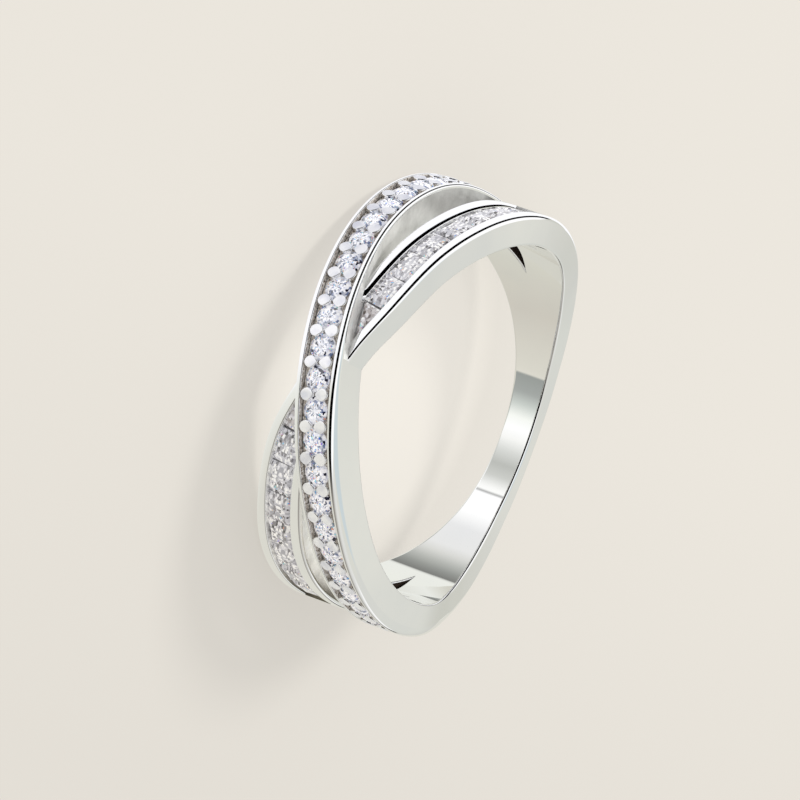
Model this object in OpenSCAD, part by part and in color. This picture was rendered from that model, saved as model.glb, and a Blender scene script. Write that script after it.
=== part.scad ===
// Crossover ring in polished silver. Two arms cross in an X at the front and join in a plain shank behind.
// The upper arm is bead set with round stones. The lower arm holds square stones in a channel.
// The hole's axis is Z. The crossing is at the front, on -Y, and angles run from there towards +X.

/* [Finger hole] */
// Inner diameter of the ring
hole_d = 17; // [15:0.1:20]

/* [Metal] */
// Rounding of the outer edges
edge_round = 0.15; // [0.08:0.01:0.2]
// Steps along the plain shank
shank_steps = 24; // [16:2:40]

/* [Bead set arm] */
// Round stones in the row
round_count = 22; // [14:2:22]
// Girdle diameter of a round stone
round_d = 1.15; // [0.9:0.01:1.16]
// Angle from one round stone to the next
round_pitch = 7.58; // [7.5:0.01:7.6]
// Width of the row's trough between its rims
trough_w = 1.45; // [1.35:0.05:1.5]
// Depth of the trough below the rims
trough_depth = 0.3; // [0.25:0.01:0.35]
// Distance of a holding bead from the middle of the row
bead_offset = 0.44; // [0.42:0.01:0.46]

/* [Channel set arm] */
// Whole square stones on each side of the crossing
square_count = 7; // [4:1:7]
// Angle from one square stone to the next
square_pitch = 9.62; // [9.5:0.01:9.8]
// Angle at which the first whole square stone starts
square_start = 19.35; // [19:0.05:20]
// Width of a square stone, from rim to rim
square_w = 1.38; // [1.3:0.01:1.38]
// Width between the rims' lips, over the stones
lip_w = 1.2; // [1.1:0.01:1.2]
// Thickness of the lips
lip_t = 0.1; // [0.08:0.01:0.1]
// Depth of the channel below the rims
channel_depth = 1.02; // [0.98:0.01:1.05]

/* [Stones] */
// Depth of a round stone's girdle below the rims
round_girdle_depth = 0.22; // [0.2:0.01:0.25]
// Depth of a square stone's girdle below the rims
square_girdle_depth = 0.25; // [0.25:0.01:0.28]
// Height of every stone's crown
crown_h = 0.17; // [0.12:0.01:0.18]
// Depth of a round stone's pavilion
round_pavilion = 0.5; // [0.4:0.01:0.5]
// Depth of a square stone's pavilion
square_pavilion = 0.6; // [0.5:0.01:0.66]
// Thickness of every girdle
girdle_t = 0.03; // [0.02:0.01:0.04]
// Gap between a stone and what holds it
seat_gap = 0.04; // [0.03:0.01:0.05]

/* [Hidden] */
hole_r = hole_d / 2;

// The arms at angles from the crossing, which the other half repeats turned half round the Y axis:
// angle, bead set arm's middle height, width and wall, channel set arm's middle height, width and wall
// (the last row only guides the curves where the arms end)
ARMS = [
    [0,     0,     2.04, 2.2,  0,     1.66, 1.5],
    [20,    0.865, 1.99, 2.15, 0.93,  2.04, 1.5],
    [40,    1.525, 1.95, 2.02, 1.32,  2.32, 1.48],
    [60,    1.87,  1.98, 1.87, 1.67,  2.46, 1.45],
    [80,    1.965, 1.97, 1.72, 1.775, 2.55, 1.43],
    [100,   1.725, 2.25, 1.56, 1.565, 2.37, 1.43],
    [119.5, 1.035, 2.13, 1.39, 1.035, 2.13, 1.39],
    [139,   0.48,  1.68, 1.33, 0.32,  1.8,  1.2],
];
BEAD_ARM = 1;            // column of each arm's middle height
CHANNEL_ARM = 4;
WIDTH = 1;               // columns of its width and wall, counted from there
WALL = 2;

// The shank behind the arms: angle, height of its edge over the middle plane, wall
SHANK = [
    [100,   2.8,  1.5],
    [119.5, 2.1,  1.39],
    [130,   1.68, 1.33],
    [145,   1.2,  1.13],
    [160,   0.9,  0.92],
    [180,   0.79, 0.75],
];
SHANK_EDGE = 1;
SHANK_WALL = 2;

bead_arm_end = 119;      // angles at which the arms run into the shank
channel_arm_end = 120;
shank_start = 123;
arm_inner = hole_r - 0.4; // the metal's inner radius before the bore is cut
arms_apart = 0.1;        // how much farther in the channel set arm reaches than the bead set arm
over_rim = 1;            // how far the cutters reach above the rims
round_share = 0.3;       // depth of a rounded edge's middle point, as a share of its radius
bore_reach = 8;          // height of the bore's cutter, past the metal on both sides
row_margin = 4.5;        // angle from the last round stone to the end of its trough
channel_margin = 0.4;    // angle from the last square stone to the end of its channel
bead_root = 0.08;        // depth of a bead's root in the trough's floor
bore_sides = 180;
pocket_sides = 10;
bead_sides = 8;
slot_w = square_w + 2 * seat_gap;

// The value of a column in a row, mirrored past both ends of the table: mirror is -1 where the column
// changes sign at the first row, and 1 where it doesn't
function row_value(t, col, i, mirror) =
    i < 0 ? mirror * t[-i][col] : i < len(t) ? t[i][col] : t[2 * len(t) - 2 - i][col];
function row_angle(t, i) =
    i < 0 ? 2 * t[0][0] - t[-i][0]
    : i < len(t) ? t[i][0] : 2 * t[len(t) - 1][0] - t[2 * len(t) - 2 - i][0];
function slope(t, col, i, mirror) =
    (row_value(t, col, i + 1, mirror) - row_value(t, col, i - 1, mirror))
    / (row_angle(t, i + 1) - row_angle(t, i - 1));
function row_below(t, a, i = 0) = i >= len(t) - 2 || a < t[i + 1][0] ? i : row_below(t, a, i + 1);

// A smooth curve through a column, by Hermite's cubic pieces
function piece(s, v0, v1, d0, d1) =
    (2 * s ^ 3 - 3 * s ^ 2 + 1) * v0 + (3 * s ^ 2 - 2 * s ^ 3) * v1
    + (s ^ 3 - 2 * s ^ 2 + s) * d0 + (s ^ 3 - s ^ 2) * d1;
function curve(t, col, a, mirror = 1) =
    let (i = row_below(t, a), span = t[i + 1][0] - t[i][0])
    piece((a - t[i][0]) / span, t[i][col], t[i + 1][col],
        span * slope(t, col, i, mirror), span * slope(t, col, i + 1, mirror));

// An arm's middle height, width and outer radius at any angle. The bead set arm climbs with the angle.
function climb(arm) = arm == BEAD_ARM ? 1 : -1;
function mid(arm, a) = climb(arm) * sign(a) * curve(ARMS, arm, abs(a), -1);
function width(arm, a) = curve(ARMS, arm + WIDTH, abs(a));
function outer(arm, a) = hole_r + curve(ARMS, arm + WALL, abs(a));
// The angle between the arm and the middle plane, in the arm's own surface
function lean(arm, a) = atan2((mid(arm, a + 1) - mid(arm, a - 1)) / 2, outer(arm, a) * PI / 180);
// Half a width that lies square to the arm, measured along Z
function half(w, arm, a) = w / 2 / cos(lean(arm, a));

function at(a, r, z) = [r * sin(a), -r * cos(a), z];
function placed(a, outline) = [for (p = outline) at(a, p[0], p[1])];

// The metal's outline at one angle, as radius and height, with its two outer edges rounded
function metal_outline(inner, r, low, high) =
    let (e = edge_round, k = round_share * edge_round)
    [[inner, low], [r - e, low], [r - k, low + k], [r, low + e],
     [r, high - e], [r - k, high - k], [r - e, high], [inner, high]];

// The angles of a sweep's outlines: its ends, and steps between them that are shifted by a share of a step.
// Sweeps that cut or cross one another have different shifts, so their edges don't meet at corners.
arm_step = round_pitch / 2;
least_step = 1;
function stops(from, to, shift) = concat([from],
    [for (k = [floor(from / arm_step) : ceil(to / arm_step)]) let (a = (k + shift) * arm_step)
        if (a > from + least_step && a < to - least_step) a],
    [to]);
BEAD_ARM_SHIFT = 0;
CHANNEL_ARM_SHIFT = 1 / 2;
TROUGH_SHIFT = 1 / 2;
CHANNEL_SHIFT = 1 / 4;

// Faces that join outlines of n points, one after another
function strip(count, n) = [for (i = [0 : count - 2], j = [0 : n - 1])
    let (a = i * n + j, b = i * n + (j + 1) % n) each [[a, b, a + n], [b, b + n, a + n]]];
function cap(n, first) = [for (j = [0 : n - 1]) first + j];
function reversed(list) = [for (j = [len(list) - 1 : -1 : 0]) list[j]];

// A solid through outlines, one at each angle, closed at both ends
module sweep(outlines) {
    n = len(outlines[0]);
    polyhedron(
        points = [for (o = outlines) each o],
        faces = concat(strip(len(outlines), n), [reversed(cap(n, 0))], [cap(n, (len(outlines) - 1) * n)]));
}

// A solid through outlines all the way round, back to the first one
module closed_sweep(outlines) {
    n = len(outlines[0]);
    total = len(outlines) * n;
    polyhedron(
        points = [for (o = outlines) each o],
        faces = [for (f = strip(len(outlines) + 1, n)) [for (p = f) p % total]]);
}

// One arm with the whole shank behind it
module loop(arm, end, inner, shift) {
    back = 360 - 2 * shank_start;
    closed_sweep(concat(
        [for (a = stops(-end, end, shift)) let (m = mid(arm, a), w = width(arm, a) / 2)
            placed(a, metal_outline(inner, outer(arm, a), m - w, m + w))],
        [for (i = [0 : shank_steps])
            let (a = shank_start + back * i / shank_steps, b = min(a, 360 - a),
                e = curve(SHANK, SHANK_EDGE, b))
            placed(a, metal_outline(arm_inner, hole_r + curve(SHANK, SHANK_WALL, b), -e, e))]));
}

// The row of round stones lies in a trough, and each stone's point has a pocket in the trough's floor
function round_angle(i) = (i - (round_count + 1) / 2) * round_pitch;
row_end = round_angle(round_count) + row_margin;

module trough() {
    sweep([for (a = stops(-row_end, row_end, TROUGH_SHIFT))
        let (m = mid(BEAD_ARM, a), w = half(trough_w, BEAD_ARM, a), r = outer(BEAD_ARM, a),
            floor_r = r - trough_depth, top_r = r + over_rim)
        placed(a, [[floor_r, m - w], [top_r, m - w], [top_r, m + w], [floor_r, m + w]])]);
}

// Puts a thing on an arm at an angle: its Z axis points outwards, X along the arm, zero at the rims' height
module on_arm(arm, a) {
    rotate([0, 0, a]) translate([0, -outer(arm, a), mid(arm, a)]) rotate([90, 0, 0])
        rotate([0, 0, lean(arm, a)]) children();
}

// A pocket is a cone that keeps its distance from the pavilion and opens above the trough's floor
module pocket() {
    point_z = -round_girdle_depth - girdle_t - round_pavilion;
    clear = 2 * seat_gap;
    reach = 1.2;
    cone_h = reach * (-trough_depth - point_z + clear);
    translate([0, 0, point_z - clear])
        cylinder(h = cone_h, r1 = seat_gap, r2 = seat_gap + cone_h * round_d / 2 / round_pavilion,
            $fn = pocket_sides);
}

// Two beads hold each pair of neighbouring stones. They fill what the stones leave between them.
girdle_reach = outer(BEAD_ARM, round_angle(round_count)) - round_girdle_depth;
bead_r = norm([girdle_reach * round_pitch * PI / 360, bead_offset]) - round_d / 2 - seat_gap;

module beads() {
    top = crown_h - round_girdle_depth;
    dome_h = bead_r / 2;
    for (i = [0 : round_count], side = [-1, 1])
        on_arm(BEAD_ARM, round_angle(i + 0.5)) translate([0, side * bead_offset, 0]) {
            translate([0, 0, -trough_depth - bead_root])
                cylinder(h = trough_depth + bead_root + top - dome_h, r = bead_r, $fn = bead_sides);
            translate([0, 0, top - dome_h])
                cylinder(h = dome_h, r1 = bead_r, r2 = bead_r / 2, $fn = bead_sides);
        }
}

// The square stones' channel, with grooves under the rims' lips
channel_end = square_start + square_count * square_pitch + channel_margin;

module channel() {
    sweep([for (a = stops(-channel_end, channel_end, CHANNEL_SHIFT))
        let (m = mid(CHANNEL_ARM, a), r = outer(CHANNEL_ARM, a),
            w = half(slot_w, CHANNEL_ARM, a), l = half(lip_w, CHANNEL_ARM, a),
            floor_r = r - channel_depth, lip_r = r - lip_t, top_r = r + over_rim)
        placed(a, [[floor_r, m - w], [lip_r, m - w], [lip_r, m - l], [top_r, m - l],
            [top_r, m + l], [lip_r, m + l], [lip_r, m + w], [floor_r, m + w]])]);
}

module band() {
    color([0.86, 0.86, 0.85]) difference() {
        // A resize that changes no size joins the metal as one mesh, so the bore is the only true cut
        resize([0, 0, 0]) union() {
            difference() {
                union() {
                    difference() {
                        loop(CHANNEL_ARM, channel_arm_end, arm_inner - arms_apart, CHANNEL_ARM_SHIFT);
                        channel();
                    }
                    loop(BEAD_ARM, bead_arm_end, arm_inner, BEAD_ARM_SHIFT);
                }
                trough();
                for (i = [1 : round_count]) on_arm(BEAD_ARM, round_angle(i)) pocket();
            }
            beads();
        }
        cylinder(h = bore_reach, r = hole_r, center = true, $fn = bore_sides);
    }
}

// The round brilliant: rings of 8 or 16 points from the table down, each with the number of its first point
TABLE = 0;
KITE = 8;
GIRDLE = 16;
GIRDLE_UNDER = 32;
LOWER = 48;
POINT = 56;
table_share = 0.56;      // radii of the rings, as shares of the girdle's
kite_share = 0.8;
lower_share = 0.3;
half_facet = 22.5;
MAINS = [0 : 7];
SIXTEENTHS = [0 : 15];

function ring(r, z, n, first) =
    [for (i = [0 : n - 1]) let (a = first + 360 * i / n) [r * cos(a), r * sin(a), z]];
function eighth(i) = (i + 8) % 8;
function sixteenth(i) = (i + 16) % 16;

module brilliant() {
    r = round_d / 2;
    kite_z = crown_h * (1 - kite_share * cos(half_facet)) / (1 - table_share);
    lower_z = -girdle_t - round_pavilion * (1 - lower_share * cos(half_facet));
    table = [reversed(cap(8, TABLE))];
    stars = [for (i = MAINS) [TABLE + i, TABLE + eighth(i + 1), KITE + eighth(i + 1)]];
    kites = [for (i = MAINS) let (g = GIRDLE + 2 * i + 1)
        each [[TABLE + i, KITE + eighth(i + 1), g], [TABLE + i, g, KITE + i]]];
    upper = [for (i = MAINS) let (g = GIRDLE + 2 * i)
        each [[KITE + i, g, GIRDLE + sixteenth(2 * i - 1)], [KITE + i, g + 1, g]]];
    girdle = [for (i = SIXTEENTHS) let (j = sixteenth(i + 1))
        each [[GIRDLE + i, GIRDLE + j, GIRDLE_UNDER + i],
            [GIRDLE + j, GIRDLE_UNDER + j, GIRDLE_UNDER + i]]];
    lower = [for (i = MAINS) let (g = GIRDLE_UNDER + 2 * i)
        each [[g, g + 1, LOWER + i], [GIRDLE_UNDER + sixteenth(2 * i - 1), g, LOWER + i]]];
    mains = [for (i = MAINS) let (g = GIRDLE_UNDER + 2 * i + 1)
        each [[g, LOWER + eighth(i + 1), POINT], [g, POINT, LOWER + i]]];
    polyhedron(
        points = concat(ring(table_share * r, crown_h, 8, half_facet), ring(kite_share * r, kite_z, 8, 0),
            ring(r, 0, 16, 0), ring(r, -girdle_t, 16, 0), ring(lower_share * r, lower_z, 8, 0),
            [[0, 0, -girdle_t - round_pavilion]]),
        faces = concat(table, stars, kites, upper, girdle, lower, mains));
}

module round_stone(i) {
    color([0.93, 0.95, 1]) on_arm(BEAD_ARM, round_angle(i))
        translate([0, 0, -round_girdle_depth]) brilliant();
}

// Levels of a stone cut to four corners: share of its outline, height as shares of crown, girdle and pavilion
STEP_CUT = [
    [0.62, 1,    0, 0],
    [0.84, 0.5,  0, 0],
    [1,    0,    0, 0],
    [1,    0,    1, 0],
    [0.62, 0,    1, 0.46],
    [0.06, 0,    1, 1],
];

module four_sided(corners, pavilion) {
    n = len(corners);
    middle = (corners[0] + corners[1] + corners[2] + corners[3]) / n;
    points = [for (l = STEP_CUT, p = corners)
        concat(middle + l[0] * (p - middle), l[1] * crown_h - l[2] * girdle_t - l[3] * pavilion)];
    polyhedron(
        points = points,
        faces = concat(strip(len(STEP_CUT), n), [reversed(cap(n, 0))], [cap(n, (len(STEP_CUT) - 1) * n)]));
}

flank = 90;              // angle at which the length of the square stones is worked out
square_girdle_r = hole_r + curve(ARMS, CHANNEL_ARM + WALL, flank) - square_girdle_depth;
square_l = square_girdle_r * square_pitch * PI / 180 - 2 * seat_gap;

module square_stone(side, i) {
    l = square_l / 2;
    w = square_w / 2;
    color([0.93, 0.93, 0.95]) on_arm(CHANNEL_ARM, side * (square_start + (i - 0.5) * square_pitch))
        translate([0, 0, -square_girdle_depth])
            four_sided([[l, w], [-l, w], [-l, -w], [l, -w]], square_pavilion);
}

// The trimmed stone beside the crossing fills what the bead set arm leaves of the channel
trim_from = 6;
trim_to = square_start - 0.35;
trim_at = (trim_from + trim_to) / 2;
trim_drop = 0.06;        // how much deeper it lies than the others, because it is longer and flat

function per_degree(r) = r * PI / 180;
function wall_z(a) = mid(BEAD_ARM, a) - width(BEAD_ARM, a) / 2 - 2 * seat_gap;
function groove_z(a, side) = mid(CHANNEL_ARM, a) + side * half(square_w, CHANNEL_ARM, a);
// The angle of the trimmed stone's end at a height: the end is parallel to its neighbour's
function end_angle(z) =
    trim_to
    - tan(lean(CHANNEL_ARM, square_start)) * (z - mid(CHANNEL_ARM, trim_to)) / per_degree(square_girdle_r);
// A corner, from angle and height to the flat plane of the stone
function trim_corner(a, z) =
    let (f = lean(CHANNEL_ARM, trim_at), along = (a - trim_at) * per_degree(square_girdle_r),
        up = z - mid(CHANNEL_ARM, trim_at))
    [along * cos(f) + up * sin(f), up * cos(f) - along * sin(f)];

module trimmed_stone(side) {
    high = min(wall_z(trim_to), groove_z(trim_to, 1));
    low = groove_z(trim_to, -1);
    color([0.9, 0.9, 0.92]) rotate([0, side < 0 ? 180 : 0, 0]) on_arm(CHANNEL_ARM, trim_at)
        translate([0, 0, -square_girdle_depth - trim_drop]) four_sided([
            trim_corner(end_angle(high), high),
            trim_corner(trim_from, wall_z(trim_from)),
            trim_corner(trim_from, groove_z(trim_from, -1)),
            trim_corner(end_angle(low), groove_z(end_angle(low), -1))], square_pavilion - trim_drop);
}

SIDES = [["left", -1], ["right", 1]];

band();
for (i = [1 : round_count]) round_stone(i);
for (s = SIDES, i = [1 : square_count])
    square_stone(s[1], i);
for (s = SIDES) trimmed_stone(s[1]);
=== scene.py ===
"""Looks of the crossover ring: polished silver with beads and stones, on a pale floor."""

import math

import bmesh
import bpy
import numpy as np
from mathutils import Matrix, Vector


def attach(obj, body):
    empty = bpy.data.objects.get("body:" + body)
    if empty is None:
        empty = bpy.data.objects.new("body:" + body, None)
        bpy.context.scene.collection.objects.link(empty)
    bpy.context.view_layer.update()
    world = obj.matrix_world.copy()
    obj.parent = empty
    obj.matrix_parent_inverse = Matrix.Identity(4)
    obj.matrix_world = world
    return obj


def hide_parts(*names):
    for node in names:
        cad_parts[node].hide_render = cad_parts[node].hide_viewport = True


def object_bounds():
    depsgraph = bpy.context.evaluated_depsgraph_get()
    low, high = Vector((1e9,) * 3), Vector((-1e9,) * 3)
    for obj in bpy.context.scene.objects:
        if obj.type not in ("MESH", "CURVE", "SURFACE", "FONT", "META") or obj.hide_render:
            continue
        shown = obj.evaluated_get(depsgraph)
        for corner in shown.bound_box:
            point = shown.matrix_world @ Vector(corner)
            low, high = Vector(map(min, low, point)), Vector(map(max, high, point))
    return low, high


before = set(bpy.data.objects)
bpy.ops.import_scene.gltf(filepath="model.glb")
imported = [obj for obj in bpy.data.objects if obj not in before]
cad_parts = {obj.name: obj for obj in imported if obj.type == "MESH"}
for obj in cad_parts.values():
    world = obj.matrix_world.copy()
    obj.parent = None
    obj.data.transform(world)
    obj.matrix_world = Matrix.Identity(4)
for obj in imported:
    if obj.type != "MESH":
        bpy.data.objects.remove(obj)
cad_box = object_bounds()

MM = 0.001              # every size is in millimetres until a mesh, an object or a texture takes it
HOLE_R = 8.5            # radius of the finger hole

# Roundings of the outer edges, across the band and into it
FREE_EDGE = (0.28, 0.48)     # the bead set arm's free edge
CREASED_EDGE = (0.24, 0.19)  # the channel set arm's free edge, which ends in a crease at the side wall
CREASED_START = 0.6          # share of the creased edge's size at the crossing
CREASED_STRETCH = (0, 40)    # angles over which it grows to its whole size
BACK_EDGE = (0.09, 0.1)      # the edges at the back of the shank
BACK_STRETCH = (105, 145)    # angles over which a free edge becomes the one at the back
GAP_EDGE = (0.17, 0.19)      # the edges beside the gap
GAP_FADE = 1.5               # angle over which they fade out on the shank
# Roundings at the finger hole
FREE_INNER = 0.13
GAP_INNER = 0.07

# Round stones and the trough they lie in
ROUND_COUNT = 22
ROUND_PITCH = 7.58      # angle from one round stone to the next
TROUGH_W = 1.5
TROUGH_DEPTH = 0.3
TROUGH_EDGE = 0.05      # rounding of its rims
TROUGH_CORNER = 0.04    # rounding of its floor's sides
ROW_MARGIN = 4.5        # angle from the last stone to the end of the trough
FREE_SIDE_EXTRA = 0.05  # how much further the arm reaches on its free side near the crossing
FREE_EXTRA_STRETCH = (40, 70)  # angles over which that ends

# Square stones and their channel
SQUARE_COUNT = 7
SQUARE_PITCH = 9.62     # angle from one square stone to the next
SQUARE_START = 19.35    # angle from the crossing to the first one's side
CHANNEL_MARGIN = 0.4    # angle from the last one's side to the end of the channel
LIP_W = 1.24            # width between the rims over the stones
LIP_LEAST = 0.1         # least half of that width
LIP_GAP_EDGE = (0.27, 0.2)     # roundings of the rims towards the stones, across and into the band
LIP_FREE_EDGE = (0.07, 0.07)
LIP_DEPTH = 0.25
LIP_MARGIN = 0.5        # least width of the free rim and its edge
SLOT_W = 1.46           # width under the rims
CHANNEL_DEPTH = 1.02
GAP_SIDE_EXTRA = 0.12   # how much further than its free side the arm reaches from its stones into the gap
GAP_EXTRA_STRETCH = (75, 100)  # angles over which that ends

# The arms at angles from the crossing: angle, bead set arm's middle height, width and wall,
# channel set arm's middle height, width and wall
ARMS = np.array([
    [0,     0,     2.16, 2.2,  0,     1.66, 1.5],
    [20,    0.845, 2.11, 2.15, 0.93,  2.04, 1.5],
    [40,    1.515, 2.02, 2.02, 1.32,  2.32, 1.48],
    [60,    1.87,  2.0,  1.87, 1.67,  2.46, 1.45],
    [80,    1.965, 1.97, 1.72, 1.775, 2.55, 1.43],
    [100,   1.725, 2.25, 1.56, 1.565, 2.37, 1.43],
    [119.5, 1.035, 2.13, 1.39, 1.035, 2.13, 1.39],
    [139,   0.48,  1.68, 1.33, 0.32,  1.8,  1.2],
])
BEAD_ARM = 1            # column of each arm's middle height
CHANNEL_ARM = 4

# The shank behind the arms: angle, height of its edge over the middle plane, wall
SHANK = np.array([
    [100,   2.8,  1.5],
    [119.5, 2.1,  1.39],
    [130,   1.68, 1.33],
    [145,   1.2,  1.13],
    [160,   0.9,  0.92],
    [180,   0.79, 0.75],
])
SHANK_START = 119.5


def curve(table, column, angle, mirror=1):
    """A smooth curve through a column of a table, mirrored past its ends."""
    place, value = table[:, 0], table[:, column]
    i = min(max(int(np.searchsorted(place, angle, side="right")), 1), len(table) - 1)
    place = [2 * place[0] - place[1], *place, 2 * place[-1] - place[-2]]
    value = [mirror * value[1], *value, value[-2]]

    def slope(k):
        return (value[k + 1] - value[k - 1]) / (place[k + 1] - place[k - 1])

    span = place[i + 1] - place[i]
    s = (angle - place[i]) / span
    return ((2 * s ** 3 - 3 * s ** 2 + 1) * value[i] + (3 * s ** 2 - 2 * s ** 3) * value[i + 1]
            + (s ** 3 - 2 * s ** 2 + s) * span * slope(i) + (s ** 3 - s ** 2) * span * slope(i + 1))


def mid(arm, a):
    climb = 1 if arm == BEAD_ARM else -1
    return climb * math.copysign(1, a) * curve(ARMS, arm, abs(a), -1)


def width(arm, a):
    return curve(ARMS, arm + 1, abs(a))


def outer(arm, a):
    return HOLE_R + curve(ARMS, arm + 2, abs(a))


def lean(arm, a):
    return math.atan2((mid(arm, a + 1) - mid(arm, a - 1)) / 2, math.radians(outer(arm, a)))


def at(a, r, z):
    """The place at an angle from the crossing, a radius and a height."""
    return Vector((r * math.sin(math.radians(a)), -r * math.cos(math.radians(a)), z))


def on_arm(arm, a, depth=0):
    """A place under an arm's rims at an angle: X along the arm, Y across it, Z outwards."""
    t = math.radians(a)
    outwards = Vector((math.sin(t), -math.cos(t), 0))
    along = Vector((math.cos(t), math.sin(t), 0))
    up = Vector((0, 0, 1))
    f = lean(arm, a)
    x = along * math.cos(f) + up * math.sin(f)
    y = up * math.cos(f) - along * math.sin(f)
    m = Matrix((x, y, outwards)).transposed().to_4x4()
    m.translation = at(a, outer(arm, a) - depth, mid(arm, a))
    return m


def blend(start, end, share):
    return start + (end - start) * share


def rise(value, stretch):
    """A smooth change from 0 at a stretch's start to 1 at its end."""
    start, end = stretch
    share = min(max((value - start) / (end - start), 0), 1)
    return share * share * (3 - 2 * share)


def spread(start, end, count):
    """Values from start to end in even steps."""
    return [start + (end - start) * k / count for k in range(count + 1)]


# The metal's outline is a closed loop of points at each angle: up one side wall, over the rims and the
# groove between them, down the other side wall and back along the finger hole
EDGE_STEPS = 8          # steps round an outer edge
RIM_STEPS = 4           # steps round a rim's edge towards the stones
INNER_STEPS = 5         # steps round an edge at the finger hole
FLOOR_STEPS = 6         # steps across the groove's floor
BEND = 0.3              # distance of a short rounding's middle from its corner, as a share of its size


def trough_side():
    """Depth and half width of the trough's points, from the rim to the floor's edge."""
    half_w = TROUGH_W / 2
    bend = BEND * TROUGH_CORNER
    below = [(TROUGH_DEPTH - TROUGH_CORNER, half_w), (TROUGH_DEPTH - bend, half_w - bend),
             (TROUGH_DEPTH, half_w - TROUGH_CORNER)]
    return rim_points(half_w, (TROUGH_EDGE, TROUGH_EDGE)) + below


def channel_side(half_w, edge):
    """The same of the channel, whose rims reach over the stones."""
    below = [(LIP_DEPTH, half_w), (LIP_DEPTH, SLOT_W / 2), (CHANNEL_DEPTH, SLOT_W / 2)]
    return rim_points(half_w, edge) + below


def rim_points(half_w, edge):
    across, into = edge
    turns = spread(0, math.pi / 2, RIM_STEPS)
    return [(into * (1 - math.cos(t)), half_w + across * (1 - math.sin(t))) for t in turns]


TROUGH_SIDES = (trough_side(), trough_side())


def groove(low_side, high_side, depth_share):
    """Depth and offset of all the groove's points, from its low side to its high side."""
    low = [(d * depth_share, -w) for d, w in low_side]
    high = [(d * depth_share, w) for d, w in high_side]
    floor_d, floor_w = low[-1]
    floor = [(floor_d, w) for w in spread(floor_w, -floor_w, FLOOR_STEPS)[1:-1]]
    return low + floor + high[::-1]


def edge_profile(crease):
    """An outer edge from the side wall to the rim, as shares of its sizes across and into the band.

    crease is 0 for a quarter of an ellipse and 1 for an edge that is round at the rim only, then nearly
    flat down to a crease at the side wall.
    """
    tight, flat = 0.157, 0.2                            # radii of the creased edge's two arcs
    turn, end = math.radians(45), math.radians(60)      # and the slopes at which they end
    half = EDGE_STEPS // 2
    arcs = [(tight * math.sin(t), tight * (1 - math.cos(t))) for t in spread(0, turn, half)]
    x, d = arcs[-1]
    arcs += [(x + flat * (math.sin(t) - math.sin(turn)), d + flat * (math.cos(turn) - math.cos(t)))
             for t in spread(turn, end, half)[1:]]
    x_end, d_end = arcs[-1]
    creased = [(1 - x / x_end, d / d_end) for x, d in reversed(arcs)]
    rounded = [(1 - math.cos(t), 1 - math.sin(t)) for t in spread(0, math.pi / 2, EDGE_STEPS)]
    return [(blend(x, u, crease), blend(d, v, crease)) for (x, d), (u, v) in zip(rounded, creased)]


def outline(r_out, low, high, edges, inner_edges, sides, middle, stretch, depth_share, creases):
    """The outline's points as radius and height.

    edges, inner_edges, sides and creases are pairs (low, high): an outer edge's size across and into the
    band, an inner edge's rounding, the groove's side and an outer edge's crease.
    """
    turns = spread(0, math.pi / 2, INNER_STEPS)
    f_low, f_high = inner_edges
    (across_low, into_low), (across_high, into_high) = edges
    points = [(HOLE_R + f_low * (1 - math.cos(t)), low + f_low * (1 - math.sin(t))) for t in turns]
    points += [(r_out - into_low * d, low + across_low * x) for x, d in edge_profile(creases[0])]
    points += [(r_out - d, middle + w * stretch) for d, w in groove(*sides, depth_share)]
    points += [(r_out - into_high * d, high - across_high * x) for x, d in reversed(edge_profile(creases[1]))]
    points += [(HOLE_R + f_high * (1 - math.sin(t)), high - f_high * (1 - math.cos(t))) for t in turns]
    return points


# The outline's points by number. A step has the number of the point that it starts from
LOW_WALL = INNER_STEPS
GROOVE_FIRST = LOW_WALL + 1 + EDGE_STEPS + 1
FLOOR_FIRST = GROOVE_FIRST + RIM_STEPS + 3
HIGH_FIRST = GROOVE_FIRST + len(groove(*TROUGH_SIDES, 1))
HIGH_WALL = HIGH_FIRST + EDGE_STEPS
OUTLINE_COUNT = HIGH_WALL + 1 + INNER_STEPS + 1
IN_GROOVE = range(GROOVE_FIRST + RIM_STEPS, HIGH_FIRST - 1 - RIM_STEPS)     # the steps between the rims
ON_FLOOR = range(FLOOR_FIRST - 1, FLOOR_FIRST + FLOOR_STEPS - 1)    # the steps across the groove's floor
FLAT_STEPS = (LOW_WALL, HIGH_WALL, OUTLINE_COUNT - 1)       # the sides and the finger hole

TIP_RANGE = (100, SHANK_START + 5)      # angles between which an arm's tip lies
HALVINGS = 50           # of that range, until the tip is found


def tip_angle(arm):
    """The angle at which an arm's edge beside the gap meets the middle plane, where the shank begins."""
    low, high = TIP_RANGE
    for _ in range(HALVINGS):
        a = (low + high) / 2
        if abs(mid(arm, a)) - width(arm, a) / 2 > 0:
            low = a
        else:
            high = a
    return low


TIP = {arm: tip_angle(arm) for arm in (BEAD_ARM, CHANNEL_ARM)}
RIM_LEFT = 0.02         # least flat width of a rim
CHANGE_OVER = 0.5       # an arm's middle height at which its edges are wholly free or beside the gap
HIDDEN_SEAM = 0.01      # how far the channel set arm's side reaches into the bead set arm's
FLAT_GROOVE = 0.9       # share of its room that the flattened groove takes up across half the shank


def round_angle(i):
    """The angle of a round stone, counted from 1."""
    return (i - (ROUND_COUNT + 1) / 2) * ROUND_PITCH


ROW_EDGE = ROUND_COUNT / 2 * ROUND_PITCH    # angle up to which the stones' cells make the trough's floor
ROW_END = round_angle(ROUND_COUNT) + ROW_MARGIN
CHANNEL_END = SQUARE_START + SQUARE_COUNT * SQUARE_PITCH + CHANNEL_MARGIN
END_STEP = 0.05         # angle of a groove's steep end


def edge_height(arm, b):
    """Distance of the free side from the middle plane, on the arms and on the shank."""
    if b > SHANK_START:
        return curve(SHANK, 1, b)
    return abs(mid(arm, b)) + width(arm, b) / 2


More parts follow.
